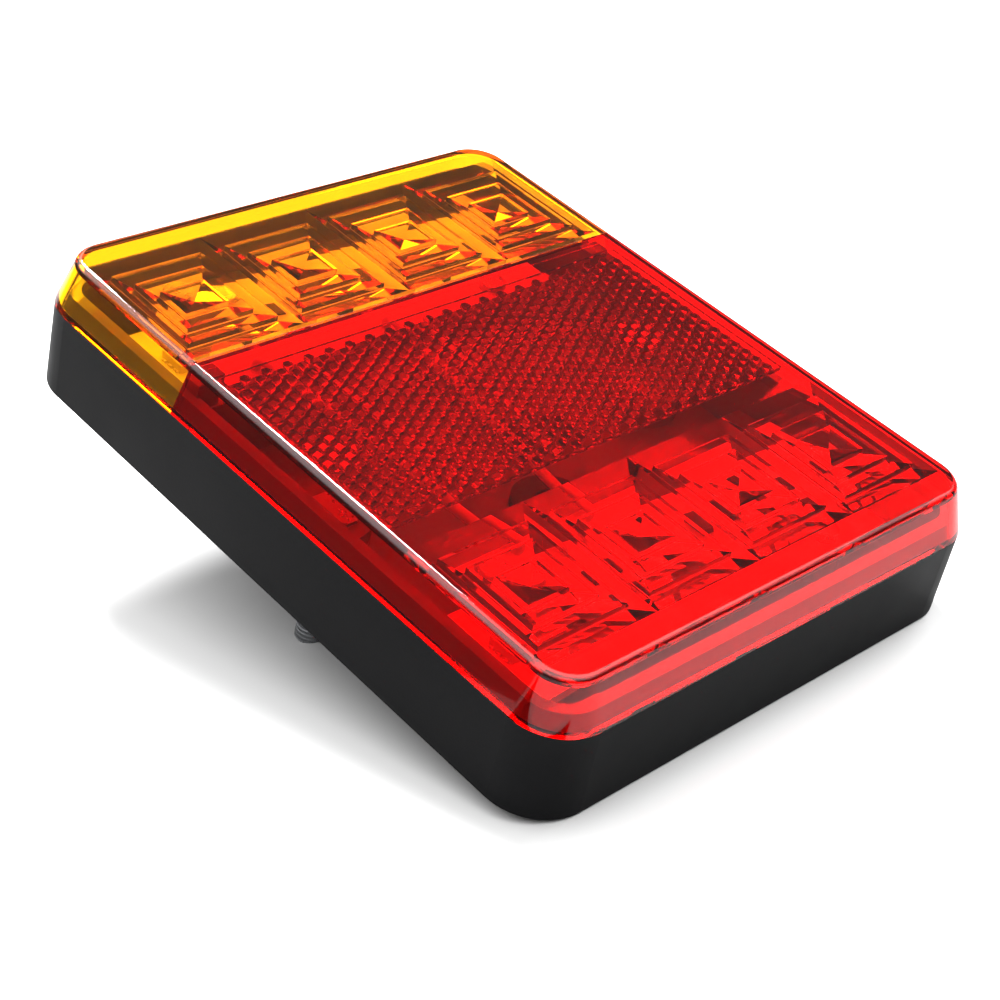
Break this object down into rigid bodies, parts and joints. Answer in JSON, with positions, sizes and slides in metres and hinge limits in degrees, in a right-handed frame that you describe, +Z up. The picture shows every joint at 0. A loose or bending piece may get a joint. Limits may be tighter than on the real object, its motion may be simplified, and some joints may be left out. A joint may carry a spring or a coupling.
{
  "type": "trailer tail light",
  "caption": "Flat rectangular LED lamp for the back of a trailer: amber and red lens with prism cells and a reflex reflector on a black tray with two studs.",
  "frame": {"origin": "centre of the flat mounting face at the back of the tray", "axes": "+Z up, along the lamp's longest side, amber lens uppermost; +Y out of the back, the way the studs point; the lens faces -Y; +X to the right of someone facing the lens"},
  "size_m": [0.099, 0.0414, 0.125],
  "materials": {
    "black_plastic": "satin black moulded ABS",
    "amber_acrylic": "polished transparent amber acrylic",
    "red_acrylic": "polished transparent red acrylic",
    "reflector_acrylic": "clear red acrylic with corner-cube prisms",
    "clear_sealant": "pale translucent silicone",
    "seal_rubber": "matt black rubber",
    "circuit_board": "white solder mask",
    "amber_led": "pale moulded package with a silicone window",
    "red_led": "pale moulded package with a silicone window",
    "component_black": "black moulded epoxy",
    "screw_steel": "zinc-plated",
    "wire_insulation": "white satin PVC",
    "grommet_rubber": "matt rubber",
    "zinc_steel": "bright zinc-plated"
  },
  "bodies": {
    "root": {"base_housing": "black_plastic", "amber_lens": "amber_acrylic", "red_lens": "red_acrylic", "lens_seal": "clear_sealant", "reflex_reflector": "reflector_acrylic", "amber_board": "circuit_board", "red_board": "circuit_board", "amber_led_1": "amber_led", "amber_led_2": "amber_led", "amber_led_3": "amber_led", "amber_led_4": "amber_led", "red_led_1": "red_led", "red_led_2": "red_led", "red_led_3": "red_led", "red_led_4": "red_led", "amber_resistors": "component_black", "red_resistors": "component_black", "amber_diode": "component_black", "red_diode": "component_black", "board_screws": "screw_steel", "link_wires": "wire_insulation", "cable_grommet": "grommet_rubber", "mounting_studs": "zinc_steel", "stud_seals": "seal_rubber"}
  },
  "joints": []
}
